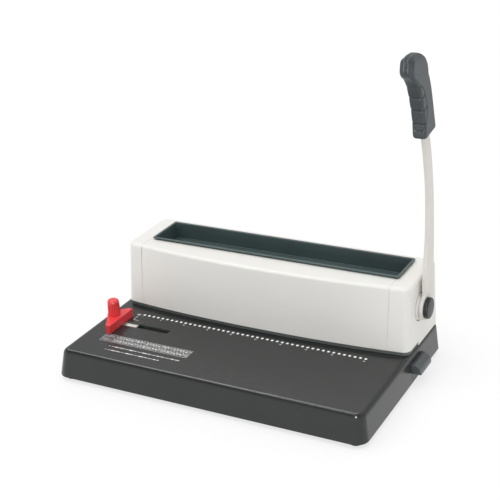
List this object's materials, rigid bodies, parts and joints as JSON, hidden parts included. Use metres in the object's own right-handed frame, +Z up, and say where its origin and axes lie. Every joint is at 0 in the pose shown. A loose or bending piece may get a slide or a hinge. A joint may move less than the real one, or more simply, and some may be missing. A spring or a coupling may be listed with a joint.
{
  "type": "coil binding machine",
  "caption": "Manual coil binding machine with a dark base, pale punch housing with a tray in its top, side lever, red edge guide and pull-out chip drawer.",
  "frame": {"origin": "middle of the footprint, at the level of the feet's undersides", "axes": "+X to the lever side, +Y to the back, +Z up"},
  "size_m": [0.3932, 0.23, 0.3785],
  "materials": {
    "base_black": "satin moulded black",
    "housing_white": "fine texture, warm white",
    "lever_white": "satin paint, warm white",
    "tray_dark": "matt dark grey",
    "grip_grey": "matt soft grey",
    "guide_red": "satin red",
    "slide_white": "plain white",
    "rubber": "matt",
    "steel": "bright",
    "dark_steel": "black oxide",
    "bronze": "sintered"
  },
  "bodies": {
    "machine": {"base_shell": "base_black", "base_plate": "dark_steel", "foot_front_left": "rubber", "foot_front_right": "rubber", "foot_rear_left": "rubber", "foot_rear_right": "rubber", "base_screw_front_left": "dark_steel", "base_screw_front_right": "dark_steel", "base_screw_rear_left": "dark_steel", "base_screw_rear_right": "dark_steel", "side_frame_left": "dark_steel", "side_frame_right": "dark_steel", "frame_screw_left_front": "steel", "frame_screw_left_rear": "steel", "frame_screw_right_front": "steel", "frame_screw_right_rear": "steel", "rear_tie_bar": "steel", "die_plate": "steel", "back_stop": "dark_steel", "stripper_plate": "steel", "stripper_screw_1": "dark_steel", "stripper_screw_2": "dark_steel", "stripper_screw_3": "dark_steel", "stripper_screw_4": "dark_steel", "shaft_bush_left": "bronze", "shaft_bush_right": "bronze", "return_spring": "steel", "housing_cover": "housing_white", "left_end_cap": "housing_white", "right_end_cap": "housing_white", "cover_screw_left_low": "dark_steel", "cover_screw_left_high": "dark_steel", "cover_screw_right_low": "dark_steel", "cover_screw_right_high": "dark_steel", "top_tray": "tray_dark", "drawer_rail_front": "steel", "drawer_rail_rear": "steel"},
    "lever": {"lever_bar": "lever_white", "lever_grip": "grip_grey", "lever_boss": "housing_white", "lever_screw": "steel", "hub_cap": "grip_grey", "drive_shaft": "steel", "shaft_clip_left": "dark_steel", "shaft_clip_right": "dark_steel", "cam_left": "steel", "cam_right": "steel", "spring_collar": "dark_steel"},
    "punch_carriage": {"punch_comb": "steel", "pressure_bar": "steel", "yoke_left": "dark_steel", "yoke_right": "dark_steel"},
    "guide": {"edge_guide": "guide_red", "guide_slide": "slide_white", "guide_bolt": "steel"},
    "knob": {"guide_knob": "guide_red"},
    "drawer": {"chip_drawer": "tray_dark", "drawer_front": "base_black", "drawer_pull": "grip_grey"}
  },
  "joints": [
    {"name": "lever_swing", "type": "hinge", "parent": "machine", "child": "lever", "pos_m": [0.189, 0.055, 0.0845], "axis": [1, 0, 0], "range_deg": [0, 80], "stiffness_Nm_per_rad": 0.5, "springref_deg": -20.05},
    {"name": "punch_stroke", "type": "slide", "parent": "machine", "child": "punch_carriage", "axis": [0, 0, -1], "range_m": [0, 0.00798]},
    {"name": "guide_run", "type": "slide", "parent": "machine", "child": "guide", "axis": [1, 0, 0], "range_m": [0, 0.046]},
    {"name": "knob_turn", "type": "hinge", "parent": "guide", "child": "knob", "pos_m": [-0.16686, -0.031, 0.06], "axis": [0, 0, 1], "continuous": true},
    {"name": "drawer_run", "type": "slide", "parent": "machine", "child": "drawer", "axis": [1, 0, 0], "range_m": [0, 0.2847]}
  ],
  "couplings": [
    {"joint": "punch_stroke", "follows": "lever_swing", "m_per_rad": 0.0057085}
  ]
}
